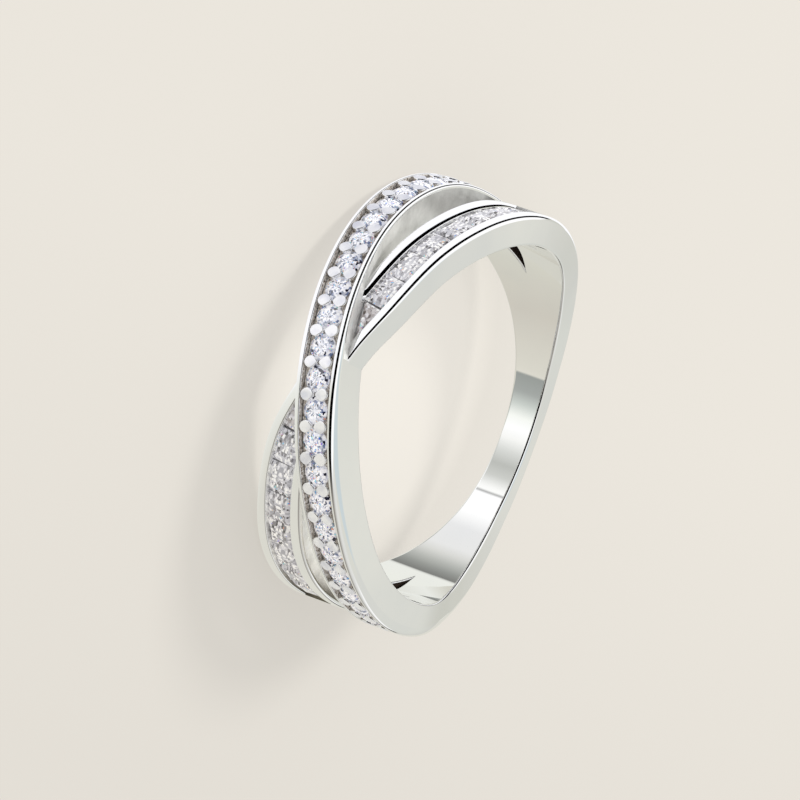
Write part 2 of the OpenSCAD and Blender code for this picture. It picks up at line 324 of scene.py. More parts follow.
def wall(arm, b):
    return curve(SHANK, 2, b) if b > SHANK_START else curve(ARMS, arm + 2, b)


def free_edge(arm, b):
    """Size of a free edge across the band and into it."""
    front = FREE_EDGE
    if arm == CHANNEL_ARM:
        size = blend(CREASED_START, 1, rise(b, CREASED_STRETCH))
        front = tuple(size * e for e in CREASED_EDGE)
    return tuple(blend(f, back, rise(b, BACK_STRETCH)) for f, back in zip(front, BACK_EDGE))


def crease(arm, b):
    return 0 if arm == BEAD_ARM else 1 - rise(b, BACK_STRETCH)


def side_extras(arm, b):
    """How much further an arm reaches than its width says, beside the gap and on its free side."""
    if arm == BEAD_ARM:
        return 0, FREE_SIDE_EXTRA * (1 - rise(b, FREE_EXTRA_STRETCH))
    return GAP_SIDE_EXTRA * (1 - rise(b, GAP_EXTRA_STRETCH)), 0


def arm_outline(arm, a):
    """The outline of an arm at an angle between its tips."""
    b = abs(a)
    m = mid(arm, a)
    half_w = width(arm, a) / 2
    end = ROW_END if arm == BEAD_ARM else CHANNEL_END
    depth_share = min(max((end - b) / END_STEP, 0), 1)
    stretch = 1 / math.cos(lean(arm, a))
    # the side away from the middle plane is the free one, and the edges change over at the crossing
    free_high = 0.5 + 0.5 * math.copysign(rise(abs(m), (0, CHANGE_OVER)), m)
    shares = (1 - free_high, free_high)
    extras = side_extras(arm, b)
    low, high = (m + s * (half_w + blend(*extras, k)) for s, k in zip((-1, 1), shares))
    if arm == BEAD_ARM or depth_share == 0:
        sides = TROUGH_SIDES
    else:
        half_free = max(min(LIP_W / 2, half_w / stretch - LIP_MARGIN), LIP_LEAST)
        sides = [channel_side(blend(LIP_W / 2, half_free, k),
                              [blend(g, f, k) for g, f in zip(LIP_GAP_EDGE, LIP_FREE_EDGE)]) for k in shares]
    rim_start = sides[0 if shares[0] > 0.5 else 1][0][1]
    room = half_w + extras[1] - (rim_start + RIM_LEFT) * stretch
    across, into = free_edge(arm, b)
    free = (max(min(across, room), RIM_LEFT), into)
    edges = [tuple(blend(g, f, k) for g, f in zip(GAP_EDGE, free)) for k in shares]
    inner = [blend(GAP_INNER, FREE_INNER, k) for k in shares]
    creases = [crease(arm, b) * k for k in shares]
    points = outline(HOLE_R + wall(arm, b), low, high, edges, inner, sides, m, stretch, depth_share, creases)
    if arm == CHANNEL_ARM:
        side = -math.copysign(1, a)
        seam = side * mid(BEAD_ARM, a) + width(BEAD_ARM, a) / 2 - HIDDEN_SEAM
        points = [(r, side * max(side * z, seam)) for r, z in points]
    return points


def shank_outline(side, b, arm):
    """The outline of one half of the shank: side is 1 over the middle plane and -1 under it."""
    def pair(at_gap, at_free):
        return (at_gap, at_free) if side > 0 else (at_free, at_gap)

    fade = 1 - rise(b, (TIP[arm], TIP[arm] + GAP_FADE))
    free = edge_height(arm, b)
    low, high = pair(0, side * free)
    edges = pair(tuple(e * fade for e in GAP_EDGE), free_edge(arm, b))
    inner = pair(GAP_INNER * fade, FREE_INNER)
    creases = pair(0, crease(arm, b))
    # the groove is flat here, and its points draw together to stay between the edges
    stretch = FLAT_GROOVE * min(1, free / 2 / (SLOT_W / 2 + 3 * FREE_EDGE[0]))
    middle = side * free / 2
    return outline(HOLE_R + wall(arm, b), low, high, edges, inner, TROUGH_SIDES, middle, stretch, 0, creases)


def steps_between(start, end, step):
    """Values from start to end in even steps of about one size."""
    return spread(start, end, max(1, round(abs(end - start) / step)))


CELL_STEPS = 8          # steps along one round stone's stretch of the trough
ARM_STEP = ROUND_PITCH / CELL_STEPS
CHANNEL_START = 2.2     # angle at which the channel set arm begins, inside the bead set arm
CHANNEL_STEP = 0.6
SHANK_STEPS = 82


def bead_arm_stops():
    """Angles along the bead set arm, from its positive tip to its negative one."""
    beside = steps_between(TIP[BEAD_ARM], ROW_END, ARM_STEP)
    row = steps_between(ROW_EDGE, -ROW_EDGE, ARM_STEP)
    one_side = beside + [ROW_END - END_STEP]
    return one_side + row + [-a for a in reversed(one_side)]


def channel_arm_stops():
    """Angles along one half of the channel set arm, from the crossing to its tip."""
    return (steps_between(CHANNEL_START, CHANNEL_END - END_STEP, CHANNEL_STEP)
            + steps_between(CHANNEL_END, TIP[CHANNEL_ARM], ARM_STEP))


def shank_rows(side, first, last):
    """The outlines of half the shank, from one arm's tip over the back to the other arm's."""
    rows = []
    for a in spread(TIP[first], 360 - TIP[last], SHANK_STEPS)[1:-1]:
        arm, b = (first, a) if a < 180 else (last, 360 - a)
        rows.append(("shank_high" if side > 0 else "shank_low", -a, shank_outline(side, b, arm)))
    return rows


def band_outlines():
    """All outlines along the whole path: channel set arm, shank, bead set arm, shank, channel set arm."""
    channel_stops = channel_arm_stops()
    rows = [("channel", -a, arm_outline(CHANNEL_ARM, -a)) for a in channel_stops]
    rows += shank_rows(1, CHANNEL_ARM, BEAD_ARM)
    rows += [("bead", a, arm_outline(BEAD_ARM, a)) for a in bead_arm_stops()]
    rows += shank_rows(-1, BEAD_ARM, CHANNEL_ARM)
    rows += [("channel", a, arm_outline(CHANNEL_ARM, a)) for a in reversed(channel_stops)]
    return rows


POLISHED, GAP_WALL, TROUGH, BEAD = 0, 1, 2, 3   # material slots of the band
POLISHED_END = 2.5      # angle up to which the bead set arm's side over the crossing is polished


def step_finish(kind, a, j):
    """The material slot of an arm's surface at one step of the outline."""
    bead_arm = kind == "bead"
    if j in IN_GROOVE and abs(a) < (ROW_END if bead_arm else CHANNEL_END):
        return TROUGH if bead_arm else GAP_WALL
    if j in (LOW_WALL, HIGH_WALL):
        beside_gap = a if (j == LOW_WALL) == bead_arm else -a
        if beside_gap > (POLISHED_END if bead_arm else 0):
            return GAP_WALL
    return POLISHED


def join_rings(mesh, one, other, slot, smooth):
    """Faces between two rings of points."""
    for k in range(len(one)):
        n = (k + 1) % len(one)
        face = mesh.faces.new([one[k], one[n], other[n], other[k]])
        face.smooth = smooth
        face.material_index = slot


def random_tilt(rng, spans):
    """A turn about X and one about Y, by random angles from two spans."""
    about_x, about_y = (Matrix.Rotation(rng.uniform(*span), 4, axis) for span, axis in zip(spans, "XY"))
    return about_x @ about_y


def add_strip(mesh, rows):
    """Faces between neighbouring outlines. The row's floor is left open for the stones' cells."""
    steps = mesh.faces.layers.int["step"]
    rings = [[mesh.verts.new(at(a, r, z) * MM) for r, z in points] for _, a, points in rows]
    for i in range(len(rows) - 1):
        kind, a0, _ = rows[i]
        kind_next, a1, _ = rows[i + 1]
        a = (a0 + a1) / 2
        one_arm = kind == kind_next and kind in ("bead", "channel")
        # the shank's halves have no wall between them
        no_wall = LOW_WALL if "shank_high" in (kind, kind_next) else HIGH_WALL
        for j in range(OUTLINE_COUNT):
            if one_arm and kind == "bead" and abs(a) < ROW_EDGE and j in ON_FLOOR:
                continue
            if not one_arm and j == no_wall:
                continue
            n = (j + 1) % OUTLINE_COUNT
            face = mesh.faces.new([rings[i][j], rings[i][n], rings[i + 1][n], rings[i + 1][j]])
            face.smooth = True
            face[steps] = j
            face.material_index = step_finish(kind, a, j) if one_arm else POLISHED
    mesh.faces.new(list(reversed(rings[0])))
    mesh.faces.new(rings[-1])


POCKET_R = 0.43         # radius of a stone's pocket in the trough's floor
POCKET = [(POCKET_R, TROUGH_DEPTH), (0.3, 0.5), (0.1, 0.8)]    # its radii and their depths
GRAIN = 0.025           # height of the trough floor's grain
GRAIN_SHARES = (0.33, 0.66)    # where its two rings lie on the way from a cell's border to the pocket


def add_cell(mesh, i, rng):
    """The trough's floor round one stone, with the pocket that its point lies in."""
    centre = round_angle(i)
    local = on_arm(BEAD_ARM, centre)
    back = local.inverted()
    angles = spread(centre - ROUND_PITCH / 2, centre + ROUND_PITCH / 2, CELL_STEPS)
    floor_w = TROUGH_SIDES[0][-1][1]
    across = spread(-floor_w, floor_w, FLOOR_STEPS)

    def border_point(a, w):
        stretch = 1 / math.cos(lean(BEAD_ARM, a))
        return at(a, outer(BEAD_ARM, a) - TROUGH_DEPTH, mid(BEAD_ARM, a) + w * stretch)

    border = [border_point(a, -floor_w) for a in angles]
    border += [border_point(angles[-1], w) for w in across[1:]]
    border += [border_point(a, floor_w) for a in reversed(angles[:-1])]
    border += [border_point(angles[0], w) for w in reversed(across[1:-1])]
    flat = [back @ p for p in border]
    turns = [math.atan2(p.y, p.x) for p in flat]

    def circle(radius, depth):
        return [Vector((radius * math.cos(t), radius * math.sin(t), -depth)) for t in turns]

    rings = [[mesh.verts.new(p * MM) for p in border]]
    for share in GRAIN_SHARES:
        ring = []
        for p, h in zip(flat, circle(*POCKET[0])):
            q = p.lerp(h, share)
            q.z += rng.uniform(-GRAIN, GRAIN)
            q.x += rng.uniform(-GRAIN, GRAIN)
            q.y += rng.uniform(-GRAIN, GRAIN)
            ring.append(mesh.verts.new((local @ q) * MM))
        rings.append(ring)
    for radius, depth in POCKET:
        rings.append([mesh.verts.new((local @ p) * MM) for p in circle(radius, depth)])
    for outer_ring, inner_ring in zip(rings, rings[1:]):
        join_rings(mesh, outer_ring, inner_ring, TROUGH, False)
    mesh.faces.new(rings[-1]).material_index = TROUGH


BEAD_OFFSET = 0.37      # distance of the beads from the arm's middle
BEAD_SIDES = 28
BEAD_ACROSS, BEAD_ALONG = 0.345, 0.3    # half widths of a bead
# Powers of its outline towards the other bead and away from it: 2 is an ellipse, 1 a diamond
BEAD_TIP, BEAD_BACK = 1.35, 1.9
# Height over the rims and share of the half widths, from a bead's root to its top
BEAD_SHAPE = [(-0.36, 0.7), (-0.24, 0.92), (-0.1, 0.99), (-0.035, 1.0), (-0.01, 0.985), (0.008, 0.95),
              (0.02, 0.9), (0.026, 0.84), (0.03, 0.6), (0.032, 0.3)]
BEAD_TOP_LEVEL = 5      # the level from which a bead has its top's finish
BEAD_ROOT = -0.1        # height up to which a bead stands straight
# Least and most of the beads' sizes and of their tilts about the arm's two directions
BEAD_SIZES = (0.96, 1.03)
BEAD_TILTS = ((-0.005, 0.04), (-0.04, 0.04))


def add_bead(mesh, i, side, rng):
    """A bead between two stones, raised from the metal and pressed flat on top."""
    local = on_arm(BEAD_ARM, round_angle(i + 0.5))
    size = rng.uniform(*BEAD_SIZES)
    tilt = random_tilt(rng, BEAD_TILTS)
    rings = []
    for z, share in BEAD_SHAPE:
        ring = []
        for k in range(BEAD_SIDES):
            t = 2 * math.pi * k / BEAD_SIDES
            c, n = math.cos(t), math.sin(t)
            power = BEAD_BACK if n * side > 0 else BEAD_TIP
            reach = (abs(c) ** power + abs(n) ** power) ** (-1 / power) * share * size
            spot = Vector((reach * BEAD_ALONG * c, reach * BEAD_ACROSS * n, z))
            if z > BEAD_ROOT:
                spot = tilt @ spot
            spot.y += side * BEAD_OFFSET
            ring.append(mesh.verts.new((local @ spot) * MM))
        rings.append(ring)
    for level, (low_ring, high_ring) in enumerate(zip(rings, rings[1:])):
        join_rings(mesh, low_ring, high_ring, BEAD if level >= BEAD_TOP_LEVEL else POLISHED, True)
    top = mesh.faces.new(rings[-1])
    top.smooth = True
    top.material_index = BEAD
    mesh.faces.new(list(reversed(rings[0])))


SHARP = math.radians(26)  # angle between two faces from which the edge between them is sharp
WELD = 2e-8             # metres within which two points become one


def mark_sharp_edges(mesh):
    """Sharp edges at steep angles and along the flat sides, so that the sides shade flat."""
    steps = mesh.faces.layers.int["step"]
    for edge in mesh.edges:
        if len(edge.link_faces) == 2:
            one, other = (face[steps] in FLAT_STEPS for face in edge.link_faces)
            edge.smooth = one == other and edge.calc_face_angle(0) < SHARP


def add_object(name, data):
    thing = bpy.data.objects.new(name, data)
    bpy.context.scene.collection.objects.link(thing)
    return thing


def add_mesh(name, mesh):
    data = bpy.data.meshes.new(name)
    mesh.to_mesh(data)
    mesh.free()
    return add_object(name, data)


def make_band():
    rng = np.random.default_rng(7)
    mesh = bmesh.new()
    steps = mesh.faces.layers.int.new("step")
    add_strip(mesh, band_outlines())
    for i in range(1, ROUND_COUNT + 1):
        add_cell(mesh, i, rng)
    bmesh.ops.remove_doubles(mesh, verts=mesh.verts, dist=WELD)
    bmesh.ops.dissolve_degenerate(mesh, edges=mesh.edges, dist=WELD)
    bmesh.ops.recalc_face_normals(mesh, faces=mesh.faces)
    for i in range(ROUND_COUNT + 1):
        for side in (-1, 1):
            add_bead(mesh, i, side, rng)
    mark_sharp_edges(mesh)
    mesh.faces.layers.int.remove(steps)
    band = add_mesh("silver_band", mesh)
    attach(band, "root")
    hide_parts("band")
    return band


CROWN = 0.17            # height of a stone's table over its girdle
GIRDLE_T = 0.03
ROUND_R = 0.625
ROUND_GIRDLE = 0.22     # depth of a girdle below the rims
ROUND_PAVILION = 0.5
SQUARE_L, SQUARE_W = 1.59, 1.38
SQUARE_GIRDLE = 0.3
SQUARE_PAVILION = 0.6
GIRDLE_LEVELS = [[(1, 0), (1, 0)], [(1, -GIRDLE_T), (1, -GIRDLE_T)]]
# Levels from a stone's table down: share of the outline and height over the girdle, at the even points and
# at the odd ones, which are the square stones' corners
ROUND_LEVELS = [
    [(0.56, CROWN), (0.56 * math.cos(math.pi / 8), CROWN)],
    [(0.84, 0.062), (0.79, 0.085)],
    *GIRDLE_LEVELS,
    [(0.4, -GIRDLE_T - 0.62 * ROUND_PAVILION), (0.3, -GIRDLE_T - 0.71 * ROUND_PAVILION)],
]
SQUARE_LEVELS = [
    [(0.58, CROWN), (0.66, CROWN)],
    [(0.84, 0.05), (0.86, 0.09)],
    *GIRDLE_LEVELS,
    [(0.62, -0.26), (0.5, -0.36)],
]
ROUND_TILTS = ((-0.04, 0.04), (-0.04, 0.04))    # least and most tilt about the arm's two directions
SQUARE_TILTS = ((-0.02, 0.02), (-0.02, 0.02))
PATTERNS = 50           # range of the seeds that shift a stone's mosaic


def stone_rings(levels, spots):
    """A stone's rings of points, from its levels and its outline's points."""
    rings = []
    for level in levels:
        ring = []
        for k, (x, y) in enumerate(spots):
            share, height = level[k % 2]
            ring.append(Vector((share * x, share * y, height)))
        rings.append(ring)
    return rings


def round_spots():
    turns = [k * math.pi / 8 for k in range(16)]
    return [(ROUND_R * math.cos(t), ROUND_R * math.sin(t)) for t in turns]


def square_spots():
    around = [(1, 0), (1, 1), (0, 1), (-1, 1), (-1, 0), (-1, -1), (0, -1), (1, -1)]
    return [(x * SQUARE_L / 2, y * SQUARE_W / 2) for x, y in around]


def make_gem(name, node, local, rings, point, size, seed):
    """A cut stone with flat facets. Its "cut" attribute holds each corner's place as shares of its size."""
    mesh = bmesh.new()
    place = mesh.verts.layers.float_vector.new("cut")

    def corner(p):
        v = mesh.verts.new((local @ p) * MM)
        v[place] = (p.x / size[0], p.y / size[1], seed)
        return v

    loops = [[corner(p) for p in ring] for ring in rings]
    count = len(loops[0])
    mesh.faces.new(loops[0])
    for upper, lower in zip(loops, loops[1:]):
        for k in range(count):
            n = (k + 1) % count
            a, b, c, d = upper[k], lower[k], lower[n], upper[n]
            for facet in [(a, b, d), (d, b, c)] if k % 2 else [(a, b, c), (a, c, d)]:
                mesh.faces.new(facet)
    tip = corner(point)
    for k in range(count):
        mesh.faces.new([loops[-1][(k + 1) % count], loops[-1][k], tip])
    bmesh.ops.recalc_face_normals(mesh, faces=mesh.faces)
    gem = add_mesh(name, mesh)
    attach(gem, "root")
    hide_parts(node)
    return gem


def make_gems():
    """All stones. The round and the whole square ones are each turned or tipped a little their own way."""
    rng = np.random.default_rng(11)
    gems = []
    rings = stone_rings(ROUND_LEVELS, round_spots())
    point = Vector((0, 0, -GIRDLE_T - ROUND_PAVILION))
    for i in range(1, ROUND_COUNT + 1):
        turn = Matrix.Rotation(rng.uniform(0, math.pi), 4, "Z")
        local = on_arm(BEAD_ARM, round_angle(i), ROUND_GIRDLE) @ random_tilt(rng, ROUND_TILTS) @ turn
        gems.append(make_gem(f"round_gem_{i}", f"round_stone_{i}", local, rings, point,
                             (ROUND_R, ROUND_R), rng.uniform(0, PATTERNS)))
    rings = stone_rings(SQUARE_LEVELS, square_spots())
    point = Vector((0, 0, -GIRDLE_T - SQUARE_PAVILION))
    for name, side in (("left", -1), ("right", 1)):
        for i in range(1, SQUARE_COUNT + 1):
            angle = side * (SQUARE_START + (i - 0.5) * SQUARE_PITCH)
            local = on_arm(CHANNEL_ARM, angle, SQUARE_GIRDLE) @ random_tilt(rng, SQUARE_TILTS)
            gems.append(make_gem(f"square_gem_{name}_{i}", f"square_stone_{name}_{i}", local,
                                 rings, point, (SQUARE_L / 2, SQUARE_W / 2), rng.uniform(0, PATTERNS)))
        gems.append(make_trimmed_gem(name, side))
    return gems


TRIMMED_START, TRIMMED_END = 19.1, 7.4   # angles of a trimmed stone's straight end and of its tip
TRIMMED_SLACK = 0.045   # room between the stone and the bead set arm's wall
TRIMMED_REACH = 0.05    # how far it reaches under the free rim
TRIMMED_UPRIGHT = 2     # angle from its middle to the place where its facets stand upright
TRIMMED_SHIFT = 0.2     # how far its table is shifted towards the straight end, as a share of the way
TRIMMED_LEVELS = [(0.55, CROWN), (0.82, 0.08), (1, 0), (1, -GIRDLE_T), (0.55, -0.3)]
TRIMMED_PAVILION = 0.45


def make_trimmed_gem(name, side):
    """The stone between the first square one and the bead set arm, whose wall it follows to a narrow tip."""
    def far(b):
        return width(BEAD_ARM, b) / 2 - mid(BEAD_ARM, b) + TRIMMED_SLACK

    def near(b):
        return width(CHANNEL_ARM, b) / 2 - mid(CHANNEL_ARM, b) - LIP_MARGIN + TRIMMED_REACH

    def spot(b, height):
        return at(side * b, outer(CHANNEL_ARM, b) - SQUARE_GIRDLE, -side * height)

    start, end = TRIMMED_START, TRIMMED_END
    middle = (start + end) / 2
    half_end = (near(start) - far(start)) / 2
    start_mid = far(start) + half_end
    slant = half_end * math.degrees(math.tan(abs(lean(CHANNEL_ARM, start))) / outer(CHANNEL_ARM, start))
    border = [spot(start + slant, start_mid - half_end), spot(start, start_mid),
              spot(start - slant, start_mid + half_end), spot(middle, near(middle)), spot(end, near(end)),
              spot(end, (near(end) + far(end)) / 2), spot(end, far(end)), spot(middle, far(middle))]
    local = on_arm(CHANNEL_ARM, side * (middle + TRIMMED_UPRIGHT), SQUARE_GIRDLE)
    flat = [local.inverted() @ p for p in border]
    centre = sum((flat[k] for k in (0, 2, 4, 6)), Vector()) / 4
    centre = centre.lerp((flat[0] + flat[2]) / 2, TRIMMED_SHIFT)
    rings = [[centre.lerp(p, share) + Vector((0, 0, height)) for p in flat]
             for share, height in TRIMMED_LEVELS]
    point = centre + Vector((0, 0, -GIRDLE_T - TRIMMED_PAVILION))
    return make_gem(f"trimmed_gem_{name}", f"trimmed_stone_{name}", local, rings, point,
                    (1, 1), 0)


def set_inputs(node, values):
    for name, value in values.items():
        node.inputs[name].default_value = value


class Nodes:
    """Short ways to add a node tree's nodes."""

    def __init__(self, tree):
        self.tree = tree

    def new(self, kind, values=None):
        node = self.tree.nodes.new(kind)
        set_inputs(node, values or {})
        return node

    def link(self, source, target):
        self.tree.links.new(source, target)

    def fill(self, socket, value):
        if isinstance(value, bpy.types.NodeSocket):
            self.link(value, socket)
        else:
            socket.default_value = value

    def math(self, operation, a, b=0.0):
        node = self.new("ShaderNodeMath")
        node.operation = operation
        self.fill(node.inputs[0], a)
        self.fill(node.inputs[1], b)
        return node.outputs[0]

    def reach(self, x, y):
        """The distance of a place from the middle."""
        return self.math("SQRT", self.math("ADD", self.math("MULTIPLY", x, x), self.math("MULTIPLY", y, y)))

    def step(self, value, start, end):
        """0 below start, 1 above end and a smooth change between."""
        node = self.new("ShaderNodeMapRange", {"From Min": start, "From Max": end})
        node.interpolation_type = "SMOOTHSTEP"
        self.link(value, node.inputs["Value"])
        return node.outputs["Result"]

    def step_down(self, value, start, end):
        return self.math("SUBTRACT", 1.0, self.step(value, start, end))

    def mix(self, share, a, b, blend_type="MIX"):
        node = self.new("ShaderNodeMix")
        node.data_type = "RGBA"
        node.blend_type = blend_type
        self.fill(node.inputs["Factor"], share)
        for socket, value in ((node.inputs[6], a), (node.inputs[7], b)):
            self.fill(socket, (*value, 1) if isinstance(value, tuple) else value)
        return node.outputs[2]

    def times(self, a, b):
        return self.mix(1.0, a, b, "MULTIPLY")

    def ramp(self, source, stops, span=(0, 1), constant=False):
        """Colours, or greys as one number, at places of a value that runs over a span."""
        low, high = span
        node = self.new("ShaderNodeValToRGB")
        elements = node.color_ramp.elements
        node.color_ramp.interpolation = "CONSTANT" if constant else "LINEAR"
        while len(elements) < len(stops):
            elements.new(0.5)
        for element, (place, tone) in zip(elements, stops):
            colour = tone if isinstance(tone, tuple) else (tone,) * 3
            element.position = (place - low) / (high - low)
            element.color = (*colour, 1)
        if span != (0, 1):
            source = self.math("DIVIDE", self.math("SUBTRACT", source, low), high - low)
        self.link(source, node.inputs["Fac"])
        return node.outputs["Color"]

    def place(self, kind="Object"):
        return self.new("ShaderNodeTexCoord").outputs[kind]

    def split(self, vector):
        node = self.new("ShaderNodeSeparateXYZ")
        self.link(vector, node.inputs["Vector"])
        return node.outputs["X"], node.outputs["Y"], node.outputs["Z"]

    def along(self, axis, stops):
        """Colours at places in millimetres along the object's X or Y."""
        x, y, _ = self.split(self.place())
        return self.ramp(self.math("DIVIDE", x if axis == "X" else y, MM), stops, (-10, 10))

    def noise(self, scale, detail=2.0, roughness=0.5):
        """Noise in the object's own coordinates. scale is in cells per millimetre."""
        node = self.new("ShaderNodeTexNoise", {"Scale": scale / MM, "Detail": detail, "Roughness": roughness})
        self.link(self.place(), node.inputs["Vector"])
        return node.outputs["Fac"]

    def cells(self, place, scale, metric="EUCLIDEAN"):
        """A random number for each cell of a Voronoi pattern, and the distance from the cell's middle."""
        node = self.new("ShaderNodeTexVoronoi", {"Scale": scale})
        node.distance = metric
        self.link(place, node.inputs["Vector"])
        split = self.new("ShaderNodeSeparateColor")
        self.link(node.outputs["Color"], split.inputs["Color"])
        return split.outputs["Red"], node.outputs["Distance"]

    def vector(self, x, y, z):
        node = self.new("ShaderNodeCombineXYZ")
        for socket, value in zip(node.inputs, (x, y, z)):
            self.fill(socket, value)
        return node.outputs["Vector"]

    def bump(self, source, height, target):
        """A bump of a height in millimetres."""
        node = self.new("ShaderNodeBump", {"Distance": height * MM})
        self.link(source, node.inputs["Height"])
        self.link(node.outputs["Normal"], target.inputs["Normal"])


def new_material(name, values):
    """A material, its nodes and its shader with the inputs set."""
    material = bpy.data.materials.new(name)
    material.use_nodes = True
    shader = material.node_tree.nodes["Principled BSDF"]
    set_inputs(shader, values)
    return material, Nodes(material.node_tree), shader


def polished_silver():
    material, nodes, shader = new_material("polished_silver", {"Metallic": 1})
    tone = nodes.ramp(nodes.noise(0.5), [(0.3, (0.945, 0.95, 0.955)), (0.7, (0.975, 0.975, 0.97))])
    nodes.link(tone, shader.inputs["Base Color"])
    dull = nodes.ramp(nodes.noise(3, 4), [(0.3, 0.02), (0.75, 0.05)])
    nodes.link(dull, shader.inputs["Roughness"])
    return material


def silver(name, values, noise, tones, painted_shading=(), bump=0.05):
    """Silver in tones that follow a noise, with painted shading along the object's axes and the noise's bump.
    """
    material, nodes, shader = new_material(name, values)
    cloud = nodes.noise(*noise)
    tone = nodes.ramp(cloud, tones)
    for axis, stops in painted_shading:
        tone = nodes.times(tone, nodes.along(axis, stops))
    nodes.link(tone, shader.inputs["Base Color"])
    nodes.bump(cloud, bump, shader)
    return material


def gap_silver():
    """The cast, only half polished walls beside the gap, with painted shade that turns them dark towards the
    gap's ends and nearly black behind the ring's middle, and painted light that brightens them in between.
    """
    # painted shade and painted light along X and Y: dark at the gap's ends, nearly black from 0.6 mm behind
    # the middle, brighter between
    painted_shading_x = [(-10, 0.63), (-8.8, 0.76), (-6.8, 1.05), (2, 1.05), (6, 1.2), (8.9, (1.15, 1.14, 1.12)),
                (9.46, (0.45, 0.42, 0.37)), (9.86, (0.18, 0.16, 0.12))]
    painted_shading_y = [(-0.4, 1.0), (0.6, (0.07, 0.05, 0.04))]
    tones = [(0.35, (0.72, 0.72, 0.7)), (0.65, (0.97, 0.97, 0.95))]
    return silver("gap_silver", {"Metallic": 0.5, "Roughness": 0.3}, (0.9, 5, 0.6), tones,
                  (("X", painted_shading_x), ("Y", painted_shading_y)))


def bead_silver():
    """The beads' softer shine, with a slight bluish shade here and there, and painted shade that darkens them
    towards -X.
    """
    tones = [(0.35, (0.78, 0.79, 0.86)), (0.55, (0.98, 0.98, 1.0))]
    # painted shade: the beads darken from 2 mm to 8 mm towards -X
    return silver("bead_silver", {"Metallic": 0.6, "Roughness": 0.22}, (1.6, 2), tones,
                  [("X", [(-8, (0.76, 0.77, 0.8)), (-2, 1.0)])], 0.08)


def trough_silver():
    """The grained metal between the stones, with painted shade that darkens it in its pits."""
    # painted shade: the darkest tones lie where the noise's bump sinks into pits
    tones = [(0.34, (0.08, 0.06, 0.045)), (0.42, (0.42, 0.37, 0.32)), (0.54, (0.75, 0.7, 0.64)),
             (0.64, (0.98, 0.96, 0.94))]
    return silver("trough_silver", {"Metallic": 0.3, "Roughness": 0.35}, (9, 3, 0.7), tones)


# The mosaic of painted reflections that stands for the light in a stone's facets: share of the cells up to
# each colour
ROUND_PAINTED_REFLECTIONS = [(0.0, (0.02, 0.02, 0.04)), (0.07, (0.16, 0.2, 0.34)), (0.14, (0.34, 0.37, 0.46)),
               (0.25, (0.58, 0.6, 0.68)), (0.39, (0.8, 0.82, 0.92)), (0.55, (0.97, 0.97, 1.0))]
SQUARE_PAINTED_REFLECTIONS = [(0.0, (0.04, 0.035, 0.035)), (0.06, (0.24, 0.23, 0.25)), (0.19, (0.44, 0.44, 0.48)),
                (0.4, (0.64, 0.64, 0.69)), (0.62, (0.86, 0.86, 0.9)), (0.76, 1.0)]
TRIMMED_PAINTED_REFLECTIONS = [(0.0, (0.08, 0.06, 0.05)), (0.09, (0.36, 0.32, 0.31)), (0.28, (0.56, 0.53, 0.53)),
                 (0.6, (0.74, 0.72, 0.75)), (0.82, 1.0)]
# painted glints: the colours of the stones' coloured sparks
PAINTED_SPARKS = [(0.0, (0.1, 0.18, 0.7)), (0.18, (0.2, 0.6, 0.85)), (0.42, (0.35, 0.75, 0.7)),
          (0.55, (0.85, 0.35, 0.2)), (0.7, (0.9, 0.6, 0.35)), (0.88, (0.5, 0.3, 0.75))]


def gem(name, pattern, tones, spark_share, shine):
    """A stone's material: a mosaic of painted reflections with a few coloured sparks of painted glint and a
    painted glow, under a clear hard surface.

    pattern makes the mosaic's coordinates, and gives plain ones for the sparks as well.
    """
    # the emission strength is a painted glow that stands for the light inside the stones
    material, nodes, shader = new_material(name, {"Emission Strength": shine, "Roughness": 0.04, "IOR": 2.15})
    facets, plain = pattern(nodes)
    cell, distance = nodes.cells(facets, 1.0, "CHEBYCHEV")
    fleck, _ = nodes.cells(plain, 1.0, "MANHATTAN")
    hue, _ = nodes.cells(plain, 1.7)
    is_spark = nodes.math("GREATER_THAN", fleck, 1 - spark_share)
    tone = nodes.mix(is_spark, nodes.ramp(cell, tones, constant=True), nodes.ramp(hue, PAINTED_SPARKS, constant=True))
    # painted shade: each shard darkens towards its border
    tone = nodes.times(tone, nodes.ramp(distance, [(0.2, 1.0), (0.8, (0.72, 0.73, 0.78))]))
    # painted shade: a warm tint towards +X
    tone = nodes.times(tone, nodes.along("X", [(3, 1.0), (7.6, (1.0, 0.97, 0.92))]))
    nodes.link(tone, shader.inputs["Base Color"])
    nodes.link(tone, shader.inputs["Emission Color"])
    return material


def read_cut(nodes):
    node = nodes.new("ShaderNodeAttribute")
    node.attribute_name = "cut"
    return nodes.split(node.outputs["Vector"])


def mosaic(nodes, x, y, seed, per_x, per_y):
    """Coordinates with so many cells to one of x and one of y."""
    return nodes.vector(nodes.math("MULTIPLY", x, per_x), nodes.math("MULTIPLY", y, per_y), seed)


def round_pattern(nodes):
    """Shards of painted reflection that spread from a round stone's middle."""
    x, y, seed = read_cut(nodes)
    facets = mosaic(nodes, nodes.reach(x, y), nodes.math("ARCTAN2", y, x), seed, 6.5, 3.8)
    return facets, mosaic(nodes, x, y, seed, 8.0, 8.0)


